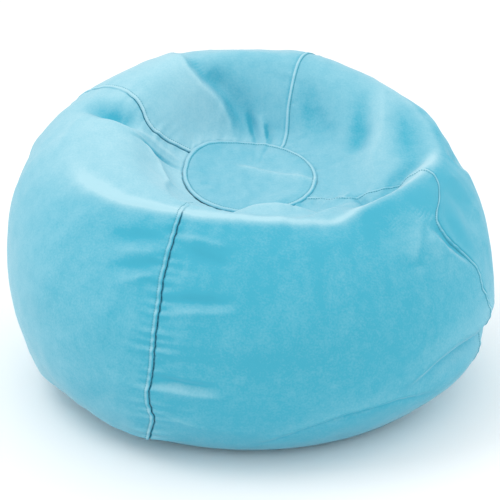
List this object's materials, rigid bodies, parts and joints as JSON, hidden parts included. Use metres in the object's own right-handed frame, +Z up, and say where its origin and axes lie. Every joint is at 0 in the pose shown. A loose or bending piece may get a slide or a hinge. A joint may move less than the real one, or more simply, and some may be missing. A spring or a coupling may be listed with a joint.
{
  "type": "bean bag chair",
  "caption": "Slumped round bean bag chair in velvety fabric: side panels sewn round a dished seat cap, a zipped base, and a zipped inner liner that holds loose beads.",
  "frame": {"origin": "centre of the bag's outline, on the floor", "axes": "+Z up, -Y the way the sitter faces, +X to the viewer's right"},
  "size_m": [0.801, 0.776, 0.5006],
  "materials": {
    "cover": "light sky-blue velvety micro-suede, soft sheen",
    "thread": "matching polyester thread",
    "zip_tape": "woven polyester tape",
    "zip_teeth": "dyed nylon coil",
    "zip_metal": "nickel-coloured die casting, satin",
    "liner": "white woven cotton blend, matte",
    "liner_zip_tape": "woven polyester tape",
    "liner_zip_teeth": "nylon coil",
    "beads": "loose expanded polystyrene beads"
  },
  "bodies": {
    "bag": {"seat_cap": "cover", "front_panel": "cover", "right_panel": "cover", "back_panel": "cover", "left_panel": "cover", "base_front_half": "cover", "base_back_half": "cover", "front_seam_stitching": "thread", "right_seam_stitching": "thread", "back_seam_stitching": "thread", "left_seam_stitching": "thread", "cap_stitching": "thread", "base_seam_stitching": "thread", "zip_stitching": "thread", "zip_tape_front": "zip_tape", "zip_tape_back": "zip_tape", "zip_teeth_front": "zip_teeth", "zip_teeth_back": "zip_teeth", "zip_stops": "zip_metal", "liner_top": "liner", "liner_front_half": "liner", "liner_back_half": "liner", "liner_base_front": "liner", "liner_base_back": "liner", "liner_zip_tape_front": "liner_zip_tape", "liner_zip_tape_back": "liner_zip_tape", "liner_zip_teeth_front": "liner_zip_teeth", "liner_zip_teeth_back": "liner_zip_teeth", "liner_zip_stops": "zip_metal", "bead_fill": "beads"},
    "slider": {"zip_slider": "zip_metal"},
    "pull": {"zip_pull": "zip_metal"},
    "liner_slider": {"liner_zip_slider": "zip_metal"}
  },
  "joints": [
    {"name": "zip_slide", "type": "slide", "parent": "bag", "child": "slider", "axis": [-1, 0, 0], "range_m": [0, 0.3935], "deforming": ["zip_teeth_front", "zip_teeth_back"]},
    {"name": "pull_swing", "type": "hinge", "parent": "slider", "child": "pull", "pos_m": [0.19906, 0, 0.0052], "axis": [0, -1, 0], "range_deg": [0, 180]},
    {"name": "liner_zip_slide", "type": "slide", "parent": "bag", "child": "liner_slider", "axis": [-1, 0, 0], "range_m": [0, 0.336], "deforming": ["liner_zip_teeth_front", "liner_zip_teeth_back"]}
  ]
}
